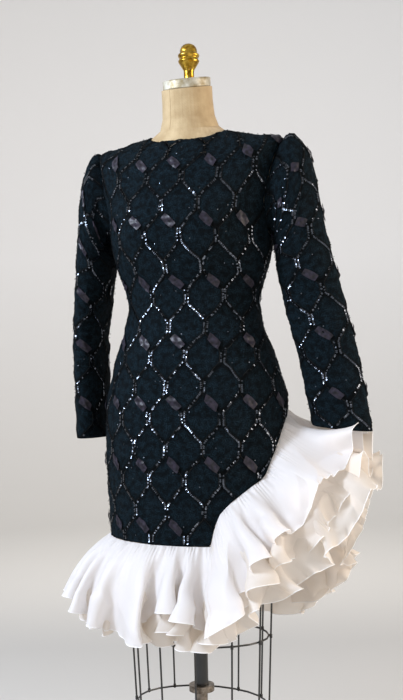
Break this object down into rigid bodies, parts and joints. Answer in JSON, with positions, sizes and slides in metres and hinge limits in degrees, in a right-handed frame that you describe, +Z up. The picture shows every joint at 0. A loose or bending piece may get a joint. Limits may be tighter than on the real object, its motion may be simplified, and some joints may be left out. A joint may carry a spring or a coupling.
{
  "type": "lace dress on a dress form",
  "caption": "Black long-sleeved lace cocktail dress with an asymmetric hem and a deep white organza ruffle, on a limbless linen dress form with a wire cage and a round stand.",
  "frame": {"origin": "centre of the base's flat underside", "axes": "+Z up along the pole, -Y the way the form faces, +X the form's own left"},
  "size_m": [0.6882, 0.4759, 1.6565],
  "materials": {
    "black_lace": "matte",
    "white_organza": "satin",
    "linen": "matte",
    "worn_grey_metal": "satin",
    "brass": "satin",
    "black_enamel": "satin",
    "steel": "satin"
  },
  "bodies": {
    "stand": {"base": "black_enamel", "post": "steel"},
    "form": {"front": "black_lace", "back_left": "black_lace", "back_right": "black_lace", "sleeve_left": "black_lace", "sleeve_right": "black_lace", "ruffle_front": "white_organza", "ruffle_cascade": "white_organza", "ruffle_back_left": "white_organza", "ruffle_back_right": "white_organza", "under_ruffle_front": "white_organza", "under_ruffle_cascade": "white_organza", "under_ruffle_back_left": "white_organza", "under_ruffle_back_right": "white_organza", "form_torso": "linen", "neck_cap": "worn_grey_metal", "finial": "brass", "cage_wire_01": "black_enamel", "cage_wire_02": "black_enamel", "cage_wire_03": "black_enamel", "cage_wire_04": "black_enamel", "cage_wire_05": "black_enamel", "cage_wire_06": "black_enamel", "cage_wire_07": "black_enamel", "cage_wire_08": "black_enamel", "cage_wire_09": "black_enamel", "cage_wire_10": "black_enamel", "cage_wire_11": "black_enamel", "cage_wire_12": "black_enamel", "cage_ring_1": "black_enamel", "cage_ring_2": "black_enamel", "cage_ring_3": "black_enamel", "support_tube": "black_enamel", "collar": "steel"}
  },
  "joints": [
    {"name": "height_slide", "type": "slide", "parent": "stand", "child": "form", "axis": [0, 0, 1], "range_m": [-0.1, 0.15]}
  ]
}
